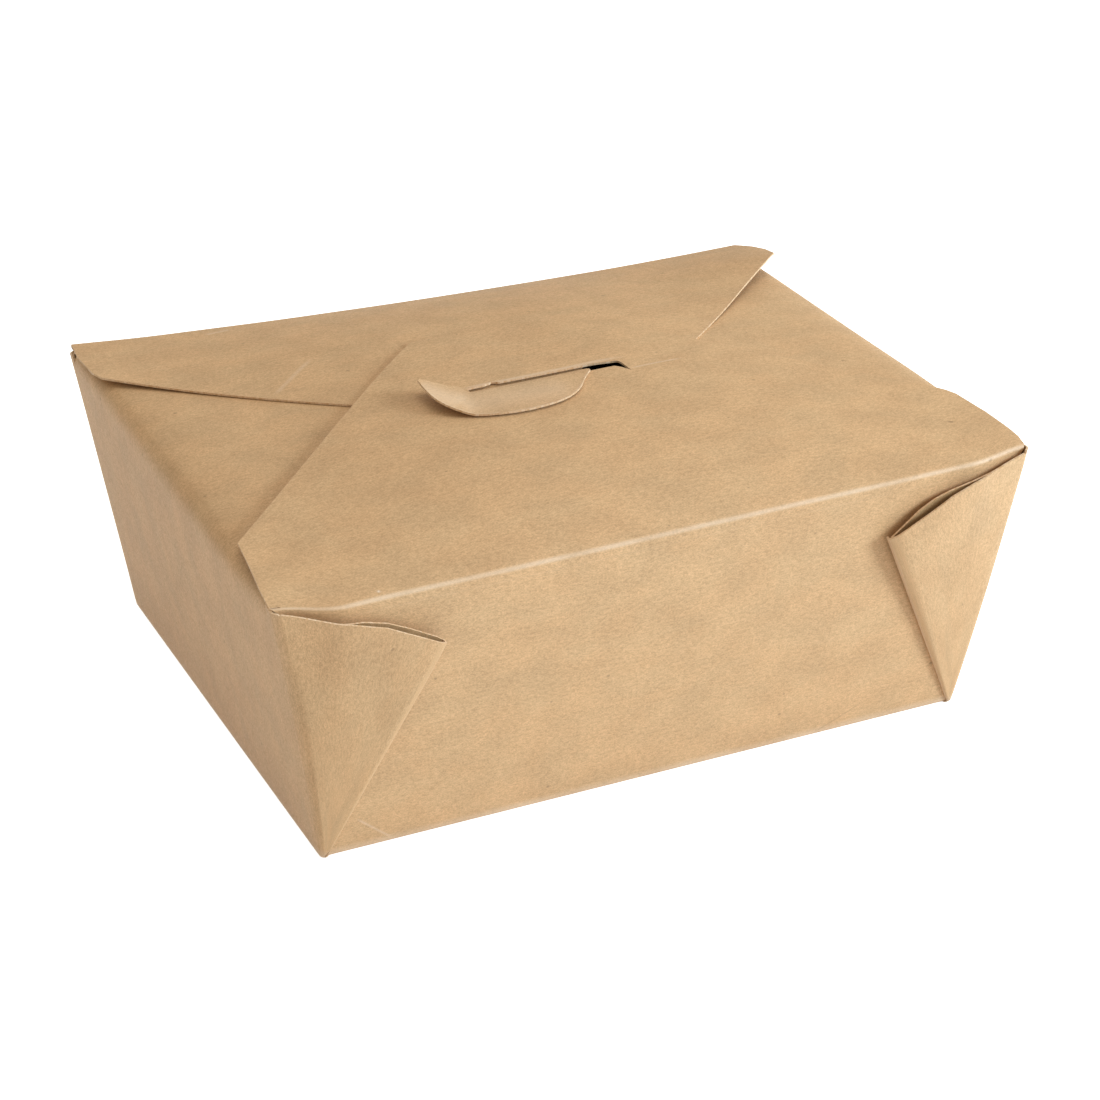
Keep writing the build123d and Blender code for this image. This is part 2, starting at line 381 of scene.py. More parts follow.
# Selects the open edges of a row, in the wanted columns
def selectRim(wanted, rowNumber):
    bpy.ops.mesh.select_all(action="DESELECT")
    data = bpy.context.object.data
    mesh = bmesh.from_edit_mesh(data)
    column = mesh.verts.layers.int["column"]
    row = mesh.verts.layers.int["row"]
    for edge in mesh.edges:
        a, b = edge.verts
        if a[row] == b[row] == rowNumber and a[column] in wanted and b[column] in wanted:
            edge.select_set(True)
    mesh.select_flush_mode()
    bmesh.update_edit_mesh(data)


def selectLabel(label, test=None):
    bpy.ops.mesh.select_all(action="DESELECT")
    bpy.ops.mesh.select_mode(type="FACE")
    data = bpy.context.object.data
    mesh = bmesh.from_edit_mesh(data)
    for face in mesh.faces:
        if face.material_index == label and (test is None or test(face.calc_center_median())):
            face.select_set(True)
    bmesh.update_edit_mesh(data)


# Cuts off what lies on the normal's side of a plane
def trim(label, point, normal, test=None):
    selectLabel(label, test)
    bpy.ops.mesh.bisect(plane_co=point, plane_no=normal, use_fill=False, clear_outer=True)


# Settles the sheet, gives it its thickness and puts it on its body
def finishSheet(item, body, stands):
    bpy.ops.mesh.select_all(action="SELECT")
    bpy.ops.mesh.remove_doubles(threshold=board["weld"])
    mesh = bmesh.from_edit_mesh(item.data)
    crease = mesh.verts.layers.float["crease"]
    for corner in mesh.verts:
        if corner.is_boundary:
            corner[crease] = max(corner[crease], board["rimPale"])
    bmesh.update_edit_mesh(item.data)
    bpy.ops.object.mode_set(mode="OBJECT")
    for corner in item.data.vertices:
        corner.co = setOf(corner.co)
    for face in item.data.polygons:
        face.material_index = 0
    for name in board["edgeSlots"]:
        item.data.materials.append(materials[name])
    bpy.ops.object.shade_smooth()
    wall = item.modifiers.new("thickness", "SOLIDIFY")
    wall.thickness = board["thickness"]
    wall.offset = 0.0
    wall.use_quality_normals = True
    wall.material_offset = 1
    wall.material_offset_rim = 2
    bpy.ops.object.modifier_apply(modifier="thickness")
    bpy.ops.object.shade_smooth_by_angle(angle=radians(board["sharpAngle"]))
    item.data.transform(Matrix.Scale(mm, 4))
    for row in item.data.attributes["sheet"].data:
        row.vector = row.vector * mm
    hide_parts(*stands)
    if body:
        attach(item, body)


def layers(item):
    mesh = item.data
    for name, kind in (("column", "INT"), ("row", "INT"), ("sheet", "FLOAT_VECTOR"), ("crease", "FLOAT")):
        mesh.attributes.new(name, kind, "POINT")


# How far the board is crushed at a distance from a fold
def foldMark(distance, width=1.1):
    return exp(-(distance / width) ** 2)


# Kraft board: colours, grain, specks, crushed folds and cut edges
kraft = {
    "face": (0.616, 0.390, 0.205),
    "warm": (0.640, 0.391, 0.203),  # blotches lean to orange and to olive
    "olive": (0.598, 0.390, 0.212),
    "pale": (0.830, 0.655, 0.500),  # crushed and torn fibres, and the painted highlights on the tongue
    "dark": (0.200, 0.110, 0.050),
    "foldPale": 0.46,
    "inside": (0.400, 0.240, 0.110),
    "edge": (0.800, 0.600, 0.420),
    "roughness": (0.50, 0.66),
    "darkTone": (0.80, 0.775, 0.74),  # between the fibres, and on them
    "paleTone": (1.20, 1.215, 1.23),
    "darkCloud": (0.93, 0.92, 0.91),
    "paleCloud": (1.06, 1.06, 1.06),
    "streakScale": (0.75, 1.6, 1.0),  # waves to a millimetre, along the sheet and across it
    "fibreScale": (2.4, 4.4, 1.0),
    "cloudScale": (0.09, 0.12, 1.0),
    "speckScale": 0.22,
    "speckShare": 0.05,
    "speckSize": 0.07,
    "speckDark": 0.45,
    "bump": 0.10,
    "bumpDepth": 0.00012,
    "edgeScale": (1.3, 1.3, 1.0),
    "edgeRoughness": 0.8,
    "edgeBump": 0.5,
    "edgeDepth": 0.0002,
}


def putNode(tree, kind, inputs=None, **settings):
    node = tree.nodes.new(kind)
    for name, value in settings.items():
        setattr(node, name, value)
    for name, value in (inputs or {}).items():
        if isinstance(value, bpy.types.NodeSocket):
            tree.links.new(value, node.inputs[name])
        else:
            node.inputs[name].default_value = value
    return node


def sums(tree, operation, a, b=0.0, c=0.0):
    return putNode(tree, "ShaderNodeMath", {0: a, 1: b, 2: c}, operation=operation).outputs[0]


def vectors(tree, operation, a, b=(0.0, 0.0, 0.0), out=0):
    return putNode(tree, "ShaderNodeVectorMath", {0: a, 1: b}, operation=operation).outputs[out]


def spread(tree, value, low, high, toLow=0.0, toHigh=1.0):
    inputs = {"Value": value, "From Min": low, "From Max": high, "To Min": toLow, "To Max": toHigh}
    return putNode(tree, "ShaderNodeMapRange", inputs, interpolation_type="SMOOTHSTEP").outputs["Result"]


def blendColour(tree, share, a, b, kind="MIX"):
    node = putNode(tree, "ShaderNodeMix", data_type="RGBA", blend_type=kind)
    for number, value in ((0, share), (6, a), (7, b)):
        if isinstance(value, bpy.types.NodeSocket):
            tree.links.new(value, node.inputs[number])
        elif number:
            node.inputs[number].default_value = (*value, 1.0)
        else:
            node.inputs[number].default_value = value
    return node.outputs[2]


def newGroup(name, inputs, outputs):
    tree = bpy.data.node_groups.new(name, "ShaderNodeTree")
    for label, kind, value in inputs:
        socket = tree.interface.new_socket(name=label, in_out="INPUT", socket_type="NodeSocket" + kind)
        socket.default_value = value
    for label, kind in outputs:
        tree.interface.new_socket(name=label, in_out="OUTPUT", socket_type="NodeSocket" + kind)
    return tree, tree.nodes.new("NodeGroupInput").outputs, tree.nodes.new("NodeGroupOutput").inputs


def noiseOf(tree, place, scale, detail, rough, distortion=0.0, offset=(0.0, 0.0, 0.0)):
    stretched = vectors(tree, "MULTIPLY", place, scale)
    moved = vectors(tree, "ADD", stretched, offset)
    inputs = {"Vector": moved, "Scale": 1.0, "Detail": detail, "Roughness": rough, "Distortion": distortion}
    return putNode(tree, "ShaderNodeTexNoise", inputs).outputs["Fac"]


# Short fibres lie along the sheet's length, over a soft mottling
def buildGrainGroup():
    tree, given, put = newGroup("boardGrain", [("Place", "Vector", (0, 0, 0))],
                                [("Streaks", "Float"), ("Blotches", "Float"), ("Hue", "Float"),
                                 ("Fibres", "Float")])
    streaks = noiseOf(tree, given["Place"], kraft["streakScale"], 3.0, 0.7, 0.2)
    fine = noiseOf(tree, given["Place"], kraft["fibreScale"], 1.0, 0.6, 0.0, (7.0, 3.0, 0.0))
    mixed = sums(tree, "ADD", sums(tree, "MULTIPLY", streaks, 0.5), sums(tree, "MULTIPLY", fine, 0.5))
    tree.links.new(spread(tree, mixed, 0.30, 0.70), put["Streaks"])
    moved = vectors(tree, "MULTIPLY", given["Place"], kraft["cloudScale"])
    inputs = {"Vector": moved, "Scale": 1.0, "Detail": 2.0, "Roughness": 0.55, "Distortion": 0.3}
    cloud = putNode(tree, "ShaderNodeTexNoise", inputs)
    parts = putNode(tree, "ShaderNodeSeparateColor", {"Color": cloud.outputs["Color"]}).outputs
    tree.links.new(spread(tree, parts["Red"], 0.25, 0.75), put["Blotches"])
    tree.links.new(spread(tree, parts["Green"], 0.28, 0.72), put["Hue"])
    tree.links.new(fine, put["Fibres"])
    return tree


# A few dark shives and pale flecks, each in its own cell
def buildSpeckGroup():
    tree, given, put = newGroup("boardSpecks", [("Place", "Vector", (0, 0, 0)), ("Scale", "Float", 0.35),
                                                ("Share", "Float", 0.1), ("Size", "Float", 0.1)],
                                [("Mask", "Float")])
    place = vectors(tree, "MULTIPLY", given["Place"], (0.7, 1.0, 0.0))
    cells = putNode(tree, "ShaderNodeTexVoronoi", {"Vector": place, "Scale": given["Scale"]},
                    voronoi_dimensions="2D")
    parts = putNode(tree, "ShaderNodeSeparateColor", {"Color": cells.outputs["Color"]})
    picked = sums(tree, "LESS_THAN", parts.outputs["Red"], given["Share"])
    size = sums(tree, "MULTIPLY", given["Size"], sums(tree, "ADD", parts.outputs["Green"], 0.35))
    near = sums(tree, "SUBTRACT", 1.0, sums(tree, "DIVIDE", cells.outputs["Distance"], size))
    soft = spread(tree, near, 0.0, 0.55)
    tree.links.new(sums(tree, "MULTIPLY", soft, picked), put["Mask"])
    return tree


# A single crease, scuff, speck or painted highlight, from one point of the sheet to another
def buildMarkGroup():
    tree, given, put = newGroup("boardMark", [("Place", "Vector", (0, 0, 0)), ("From", "Vector", (0, 0, 0)),
                                              ("To", "Vector", (1, 0, 0)), ("Width", "Float", 0.5)],
                                [("Mask", "Float")])
    run = vectors(tree, "SUBTRACT", given["To"], given["From"])
    away = vectors(tree, "SUBTRACT", given["Place"], given["From"])
    share = sums(tree, "DIVIDE", vectors(tree, "DOT_PRODUCT", away, run, "Value"),
                 vectors(tree, "DOT_PRODUCT", run, run, "Value"))
    share = sums(tree, "MINIMUM", sums(tree, "MAXIMUM", share, 0.0), 1.0)
    nearest = putNode(tree, "ShaderNodeVectorMath", {0: run, "Scale": share}, operation="SCALE").outputs[0]
    gap = vectors(tree, "LENGTH", vectors(tree, "SUBTRACT", away, nearest), out="Value")
    ends = sums(tree, "MULTIPLY", spread(tree, share, 0.0, 0.12), spread(tree, share, 1.0, 0.85))
    fade = sums(tree, "ADD", 0.25, sums(tree, "MULTIPLY", ends, 0.75))
    line = spread(tree, gap, given["Width"], 0.0)
    tree.links.new(sums(tree, "MULTIPLY", line, fade), put["Mask"])
    return tree


# Where the board was folded its fibres are crushed and paler, in a broken line
def buildFoldGroup():
    tree, given, put = newGroup("foldWear", [("Patches", "Float", 0.5), ("Crease", "Float", 0.0)],
                                [("Mask", "Float")])
    broken = sums(tree, "ADD", 0.55, sums(tree, "MULTIPLY", given["Patches"], 0.45))
    tree.links.new(sums(tree, "MULTIPLY", spread(tree, given["Crease"], 0.12, 1.0), broken), put["Mask"])
    return tree


groups = {"grain": buildGrainGroup(), "specks": buildSpeckGroup(), "mark": buildMarkGroup(),
          "fold": buildFoldGroup()}


def putGroup(tree, name, **inputs):
    return putNode(tree, "ShaderNodeGroup", inputs, node_tree=groups[name]).outputs


# Where points of the flaps, the front wall and the tongue lie on the blank.
# The flared rim is longer than the base, so the blank is narrower than the carton seen from above.
blank = {
    "lidShare": 0.939,
    "wallShare": 0.95,
    "lidStart": tray["footHalfY"] + tray["height"],
}


def flapPlace(x, y):
    return (x * blank["lidShare"], -(blank["lidStart"] + tray["rimHalfY"] + y), 0.0)


def backPlace(x, y):
    return (x * blank["lidShare"], blank["lidStart"] + tray["rimHalfY"] - y, 0.0)


def wallPlaceOn(x, z):
    return (x * blank["wallShare"], -(tray["footHalfY"] + z), 0.0)


def tonguePlace(x, y):
    return (x, 2 * tray["rimHalfY"] + tray["height"] - y, 0.0)


marks = {  # from, to, width, strength: pale above 0, dark below
    "backBend": (backPlace(-52, 19), backPlace(-39, 32), 0.9, 0.22),
    "slitStress": (flapPlace(18.9, -7.4), flapPlace(31.5, -6.0), 0.5, 0.34),
    "slitLip": (flapPlace(-17.5, -1.3), flapPlace(19.5, -1.1), 1.0, 0.4),
    "backScuff": (backPlace(-54, 60.5), backPlace(-48, 61.6), 0.9, 0.35),
    "footLeft": (wallPlaceOn(-75.4, 8.5), wallPlaceOn(-67.5, 1.2), 0.5, 0.3),
    "footRight": (wallPlaceOn(46.0, 0.8), wallPlaceOn(57.5, 6.2), 0.4, -0.25),
    "flapSpeck": (flapPlace(72.8, -49.7), flapPlace(73.8, -50.3), 0.55, -0.6),
    "foldSpeck": (flapPlace(-63.6, -63.6), flapPlace(-63.2, -63.8), 0.6, 1.0),
    # The last two are painted highlights: the tongue's blade and its raised barb made paler where the lamp
    # lights them
    "bladeHighlight": (tonguePlace(-24, -9), tonguePlace(4, -12), 9.5, 0.2),
    "barbHighlight": (tonguePlace(-30, -2), tonguePlace(-22, -10), 7.0, 0.3),
}


def blankPlace(tree):
    sheet = putNode(tree, "ShaderNodeAttribute", attribute_name="sheet").outputs["Vector"]
    inputs = {0: sheet, "Scale": 1 / mm}
    return putNode(tree, "ShaderNodeVectorMath", inputs, operation="SCALE").outputs[0]


def buildKraft(name, face, warm, olive, withMarks):
    material = bpy.data.materials.new(name)
    material.use_nodes = True
    tree = material.node_tree
    shader = tree.nodes["Principled BSDF"]
    place = blankPlace(tree)
    crease = putNode(tree, "ShaderNodeAttribute", attribute_name="crease").outputs["Fac"]
    grain = putGroup(tree, "grain", Place=place)
    colour = blendColour(tree, grain["Hue"], olive, warm)
    colour = blendColour(tree, 0.5, colour, face)
    tone = blendColour(tree, grain["Streaks"], kraft["darkTone"], kraft["paleTone"])
    colour = blendColour(tree, 1.0, colour, tone, "MULTIPLY")
    cloud = blendColour(tree, grain["Blotches"], kraft["darkCloud"], kraft["paleCloud"])
    colour = blendColour(tree, 1.0, colour, cloud, "MULTIPLY")
    worn = putGroup(tree, "fold", Patches=grain["Blotches"], Crease=crease)["Mask"]
    colour = blendColour(tree, sums(tree, "MULTIPLY", worn, kraft["foldPale"]), colour, kraft["pale"])
    shives = putGroup(tree, "specks", Place=place, Scale=kraft["speckScale"], Share=kraft["speckShare"],
                      Size=kraft["speckSize"])["Mask"]
    colour = blendColour(tree, sums(tree, "MULTIPLY", shives, kraft["speckDark"]), colour, kraft["dark"])
    height = sums(tree, "ADD", sums(tree, "MULTIPLY", grain["Streaks"], 0.5), grain["Fibres"])
    # Marks: creases, scuffs and specks, and the painted highlights on the tongue
    if withMarks:
        for start, end, width, strength in marks.values():
            mask = putGroup(tree, "mark", Place=place, From=start, To=end, Width=width)["Mask"]
            share = sums(tree, "MULTIPLY", mask, abs(strength))
            colour = blendColour(tree, share, colour, kraft["pale" if strength > 0 else "dark"])
    tree.links.new(colour, shader.inputs["Base Color"])
    low, high = kraft["roughness"]
    tree.links.new(spread(tree, grain["Streaks"], 0.0, 1.0, high, low), shader.inputs["Roughness"])
    inputs = {"Height": height, "Distance": kraft["bumpDepth"], "Strength": kraft["bump"]}
    bump = putNode(tree, "ShaderNodeBump", inputs)
    tree.links.new(bump.outputs[0], shader.inputs["Normal"])
    return material


def buildCutEdge(name):
    material = bpy.data.materials.new(name)
    material.use_nodes = True
    tree = material.node_tree
    shader = tree.nodes["Principled BSDF"]
    fibres = noiseOf(tree, blankPlace(tree), kraft["edgeScale"], 4.0, 0.7, 0.5)
    colour = blendColour(tree, spread(tree, fibres, 0.35, 0.68), kraft["face"], kraft["edge"])
    tree.links.new(colour, shader.inputs["Base Color"])
    shader.inputs["Roughness"].default_value = kraft["edgeRoughness"]
    inputs = {"Height": fibres, "Distance": kraft["edgeDepth"], "Strength": kraft["edgeBump"]}
    bump = putNode(tree, "ShaderNodeBump", inputs)
    tree.links.new(bump.outputs[0], shader.inputs["Normal"])
    return material


materials = {
    "kraftOutside": buildKraft("kraftOutside", kraft["face"], kraft["warm"], kraft["olive"], True),
    "kraftInside": buildKraft("kraftInside", kraft["inside"], kraft["inside"], kraft["olive"], False),
    "cutEdge": buildCutEdge("cutEdge"),
}
print("kraft materials")

# Carton: base and walls
wallRows = [3.0, 5.2] + [7.5 + 2.5 * row for row in range(14)] + [42.0 + 2.0 * row for row in range(9)]
wallRows.append(tray["bendStart"])
postRows = [60.2, tray["seam"]]
labels = {"long": 1, "endLeft": 2, "endRight": 3, "under": 4, "outer": 8}


# Marks a face as plain wall, 0, or as the under or outer layer of one of the four pleats
def pleatLabel(used):
    parts = {columns[c][0] for c in used}
    signX, signY = columns[used[0]][2:]
    corner = 2 * (signX > 0) + (signY > 0)
    if "under" in parts or "tuckTurn" in parts:
        return labels["under"] + corner
    if "outer" in parts or "tipTurn" in parts:
        return labels["outer"] + corner
    return 0


# The rounded bend from the base into the walls
def pullBase():
    bend = tray["baseBend"]
    for share in (0.25, 0.5, 0.75, 1.0):
        angle = pi / 2 * share
        inset, z = bend * (1 - sin(angle)), bend * (1 - cos(angle))

        def basePlace(column, corner):
            point = wallPoint(column, z, inset)
            point.z += board["thickness"] / 2
            return point, sheetPlace(column, z - inset), foldMark(bend * (share - 0.5))
        pullEdge(basePlace, pleatLabel)


def pullWalls(rows):
    for z in rows:
        def wallPlace(column, corner):
            part, share, signX, signY = columns[column]
            mark = foldMark(z - 1, 0.9)
            if part in board["crease"]:
                mark = max(mark, board["crease"][part] * sin(pi * share))
            top = min(z, tray["cornerCap"]) if part == "corner" else z
            if signY > 0 and part != "end":
                top = min(top, tray["backCap"])
            return wallPoint(column, top), sheetPlace(column, z * tray["wallSlope"]), mark
        pullEdge(wallPlace, pleatLabel)


def buildCarton():
    bpy.ops.object.select_all(action="DESELECT")
    bpy.ops.mesh.primitive_circle_add(vertices=len(columns), radius=60, fill_type="NGON")
    item = bpy.context.object
    item.name = item.data.name = "carton_sheet"
    layers(item)
    flip = item.data.polygons[0].normal.z > 0
    for number, corner in enumerate(item.data.vertices):
        corner.co = wallPoint(number, 0, tray["baseBend"])
        corner.co.z = board["thickness"] / 2
        item.data.attributes["column"].data[number].value = number
        item.data.attributes["sheet"].data[number].vector = sheetPlace(number, -tray["baseBend"])
        item.data.attributes["crease"].data[number].value = foldMark(tray["baseBend"])
    editStart(item)
    if flip:
        bpy.ops.mesh.select_all(action="SELECT")
        bpy.ops.mesh.flip_normals()
    whole = set(range(len(columns)))
    selectRim(whole, 0)
    pullBase()
    pullWalls(wallRows)

    # The end walls stop where they bend, the corner posts go on to the rim
    ends = {c for c in whole if columns[c][0] == "end"}
    beside = {c for c in ends if columns[c][1] < 0.05}
    frontWall = {c for c in whole if columns[c][0] == "long" and columns[c][3] < 0}
    backWall = {c for c in whole if columns[c][0] == "long" and columns[c][3] > 0}
    bendRow = 4 + len(wallRows)
    seamRow = bendRow + len(postRows)
    selectRim(whole - ends | beside, bendRow)
    pullWalls(postRows)
    selectRim(whole - frontWall - backWall - ends | beside, seamRow)
    pullWalls(tray["postRows"])

    selectRim(backWall, seamRow)
    flapRows(1, lid["backDrop"], lid["backReach"])
    cutBackFlap()
    for side, label in ((-1, labels["endLeft"]), (1, labels["endRight"])):
        selectRim({c for c in ends if columns[c][2] == side}, bendRow)
        endRows(side, label)
        cutEndFlap(side, label)
    for signX in (-1, 1):
        for signY in (-1, 1):
            cutPleat(signX, signY)
    finishSheet(item, "tray", ["carton"])
    return item


# How far a long fold's left end is pressed down, side -1 for the front and 1 for the back
def pinchAt(side, x):
    return tray["pinch" if side < 0 else "backPinch"] * smooth(*tray["pinchRun"], -x)


# A point on the rounded fold between a long wall and its flap, share 0 on the wall and 1 on the flap
def foldStep(side, share, column, drop):
    size = tray["foldRound"]
    start = wallPoint(column, tray["height"] - size)
    middle = wallPoint(column, tray["height"])
    middle.z -= pinchAt(side, middle.x)
    spare = lid["foldSpare"][middle.x > 0]
    start.x *= 1 + spare * 0.8
    middle.x *= 1 + spare
    end = middle.copy()
    end.x *= 1 + spare * 0.6
    end.y -= side * size
    end.z += lidRise(end.x, end.y, drop)
    return start * (1 - share) ** 2 + middle * 2 * share * (1 - share) + end * share ** 2


# Pulls a long flap out of the wall's top: the fold, then the dome in rows that start close together
def flapRows(side, drop, edge):
    height, size = tray["height"], tray["foldRound"]
    for share in (0.0, 0.2, 0.4, 0.6, 0.8, 1.0):
        def foldPlace(column, corner):
            gone = size * (2 * share - 1)
            point = foldStep(side, share, column, drop)
            return point, sheetPlace(column, height + gone), foldMark(gone, 0.6)
        pullEdge(foldPlace, lambda used: labels["long"])

    last = tray["rimHalfY"] - side * edge + lid["spareRun"]
    before = size
    run = before + 0.5
    while run <= last:
        y = side * (tray["rimHalfY"] - run)
        widen = 1 + lid["widen"] * (smooth(0, lid["widenRun"], run) - smooth(0, lid["widenRun"], before))

        def domePlace(column, corner):
            x = corner.co.x * widen
            z = height + lidRise(x, y, drop) - pinchAt(side, x) * smooth(tray["pinchFade"], 0, run)
            return Vector((x, y, z)), sheetPlace(column, height + run), foldMark(run, 0.6)
        pullEdge(domePlace, lambda used: labels["long"])
        before = run
        run += 0.5 if run < 2 else 1.0 if run < 4 else 2.0


backOutline = {
    "edgeY": -0.4,
    "left": ((-86.6, 62.0), (-87.3, 56.7), (-87.1, 46.5), (-86.0, 43.2), (-34.6, -0.4)),
    "right": ((86.2, 62.5), (87.2, 59.0), (87.6, 53.3), (86.8, 47.6), (36.4, -0.4)),
}


# Trims off what lies outside a line that bends one way only, seen from the lid's middle
def cutAlong(label, line, test=None):
    for (ax, ay), (bx, by) in zip(line, line[1:]):
        normal = Vector((by - ay, ax - bx, 0)).normalized()
        if normal.x * ax + normal.y * ay < 0:
            normal = -normal
        trim(label, (ax, ay, 0), normal, test)


def cutBackFlap():
    trim(labels["long"], (0, backOutline["edgeY"], 0), (0, -1, 0))
    cutAlong(labels["long"], backOutline["left"])
    cutAlong(labels["long"], backOutline["right"])


# How far out the end walls stand at the height of their bends
def endEdge():
    return mix(tray["footHalfX"], tray["rimHalfX"], tray["postTop"] / tray["height"])


# The soft bend at the top of an end wall, then the end flap
def endRows(side, label):
    start, fold = tray["bendStart"], tray["postTop"]
    roll = fold - start
    edgeX = endEdge()
    for step in range(counts["bend"]):
        share = (step + 1) / counts["bend"]

        def bendPlace(column, corner):
            a = wallPoint(column, start)
            b = Vector((side * edgeX, a.y, fold))
            c = Vector((side * (edgeX - roll), a.y, endRise(side * (edgeX - roll), a.y, roll)))
            point = a * (1 - share) ** 2 + b * 2 * share * (1 - share) + c * share ** 2
            return point, sheetPlace(column, start + 2 * roll * share), 0.0
        pullEdge(bendPlace, lambda used: label)
    run = roll
    while run < lid["endReach"] + 1:
        run += lid["endPitch"]

        def flatPlace(column, corner):
            y = corner.co.y
            x = side * (edgeX - run)
            return Vector((x, y, endRise(x, y, run))), sheetPlace(column, fold + run), 0.0
        pullEdge(flatPlace, lambda used: label)


def cutEndFlap(side, label):
    tipX, tipY = endEdge() - lid["endReach"], lid["endHalf"]
    baseX, baseY = endEdge() - lid["endTaper"], lid["endRoot"]
    trim(label, (side * tipX, 0, 0), (-side, 0, 0))
    for hand in (-1, 1):
        normal = Vector((-side * (baseY - tipY), hand * (baseX - tipX), 0)).normalized()
        trim(label, (side * tipX, hand * tipY, 0), normal, lambda centre: abs(centre.x) < baseX + 2)


# The free edges of a pleat's two layers
def cutPleat(signX, signY):
    corner = 2 * (signX > 0) + (signY > 0)
    kind = "wide" if signX * signY < 0 else "slim"
    for layer in ("outer", "under"):
        line = tray[kind + layer.capitalize()]
        for (startX, startZ), (endX, endZ) in zip(line, line[1:]):
            normal = Vector((-signX * (endZ - startZ), 0, endX - startX)).normalized()
            trim(labels[layer] + corner, (signX * startX, 0, startZ), normal)


carton = buildCarton()
print("carton sheet", len(carton.data.polygons), "faces")

# Front flap
frontOutline = {
    "left": ((-87.2, -65.0), (-86.5, -58.0), (-86.3, -44.3), (-86.0, -41.0), (-84.6, -38.4),
             (-18.3, 27.4)),
    "rear": ((-18.3, 27.4), (0.0, 27.0), (18.3, 25.8)),
    "right": ((18.3, 25.8), (81.0, -34.8), (82.6, -36.8), (83.8, -39.2), (85.5, -48.7), (86.4, -58.0),
              (86.8, -65.0)),
    "reach": 28.0,
}

slit = {  # its outline seen from above, with the torn nick in its rear edge
    "left": -17.4,
    "right": 18.9,
    "rear": -1.7,
    "front": -4.9,
    "hookFront": -8.3,
    "hookWidth": 1.1,
    "hookLean": 0.2,  # how far the hooks lean outwards at their front, left and right
    "hookSpread": 0.3,
    "nick": ((-13.2, -1.55), (-12.5, -1.15), (-11.9, -1.2), (-11.2, -0.75), (-10.4, -1.05), (-9.6, -1.5)),
    "rearRound": ((12.0, -1.7), (18.4, -2.6), (18.9, -3.4)),
    "near": (4.0, 3.0),  # the slit is scored this far round it
    "shortEdge": 2.0,
    "shortScore": 1.5,
}


def buildFrontFlap():
    frontColumns = [c for c in range(len(columns)) if columns[c][0] == "long" and columns[c][3] < 0]
    frontColumns.sort(key=lambda c: wallPoint(c, tray["seam"]).x)
    bpy.ops.object.select_all(action="DESELECT")
    bpy.ops.mesh.primitive_grid_add(x_subdivisions=len(frontColumns) - 1, y_subdivisions=1, size=100)
    item = bpy.context.object
    item.name = item.data.name = "front_flap_sheet"
    layers(item)
    order = sorted(range(len(item.data.vertices)), key=lambda i: item.data.vertices[i].co.x)
    for place, number in enumerate(order):
        column = frontColumns[place // 2]
        top = item.data.vertices[number].co.y > 0
        z = tray["seamTop"] if top else tray["seam"]
        item.data.vertices[number].co = wallPoint(column, z)
        item.data.attributes["column"].data[number].value = column
        item.data.attributes["row"].data[number].value = 1 if top else 0
        item.data.attributes["sheet"].data[number].vector = sheetPlace(column, z * tray["wallSlope"])
    editStart(item)
    mesh = bmesh.from_edit_mesh(item.data)
    mesh.normal_update()
    mesh.faces.ensure_lookup_table()
    if mesh.faces[0].normal.y > 0:
        bpy.ops.mesh.select_all(action="SELECT")
        bpy.ops.mesh.flip_normals()
    for face in mesh.faces:
        face.material_index = labels["long"]
    bmesh.update_edit_mesh(item.data)
    selectRim(set(frontColumns), 1)
    flapRows(-1, 0.0, frontOutline["reach"])
    cutFrontFlap()
    cutSlit()
    finishSheet(item, None, ["front_flap"])
    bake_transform(item, "tray", "lid", start=(0, hingeAt[1] * mm, 0.0612), end=(0, hingeAt[1] * mm, 0.0640))
    return item


def cutFrontFlap():
    def onLid(centre):
        return centre.y > lid["foldClear"] - tray["rimHalfY"]
    for line in (frontOutline["left"], frontOutline["rear"], frontOutline["right"]):
        cutAlong(labels["long"], line, onLid)


# Scores the slit's lines into the flap, then takes the paper between them out
def cutSlit():
    left, right, hook = slit["left"], slit["right"], slit["hookWidth"]
    outline = [(left, slit["rear"] + 0.1), *slit["nick"], *slit["rearRound"],
               (right + slit["hookSpread"], slit["hookFront"]),
               (right - hook, slit["front"] - hook), (right - 2 * hook, slit["front"]),
               (left + 2 * hook, slit["front"]), (left + hook, slit["front"] - hook),
               (left - slit["hookLean"], slit["hookFront"])]
    nearX, nearY = slit["near"]

    def near(centre):
        return left - nearX < centre.x < right + nearX and \
            slit["hookFront"] - nearY < centre.y < slit["rear"] + nearY
    for (ax, ay), (bx, by) in zip(outline, outline[1:] + outline[:1]):
        long = max(abs(ax - bx), abs(ay - by)) >= slit["shortEdge"]
        selectLabel(labels["long"], lambda c: near(c) and (long or abs(c.x - ax) < slit["shortScore"]))
        normal = Vector((by - ay, ax - bx, 0)).normalized()
        bpy.ops.mesh.bisect(plane_co=(ax, ay, 0), plane_no=normal, use_fill=False)
    selectLabel(labels["long"], lambda centre: near(centre) and inside(centre, outline))
    bpy.ops.mesh.delete(type="FACE")


# Whether a point lies in an outline seen from above
def inside(point, outline):
    hits = False
    for (ax, ay), (bx, by) in zip(outline, outline[1:] + outline[:1]):
        if (ay > point.y) != (by > point.y) and point.x < ax + (bx - ax) * (point.y - ay) / (by - ay):
            hits = not hits
    return hits


frontFlap = buildFrontFlap()
print("front flap sheet", len(frontFlap.data.polygons), "faces")

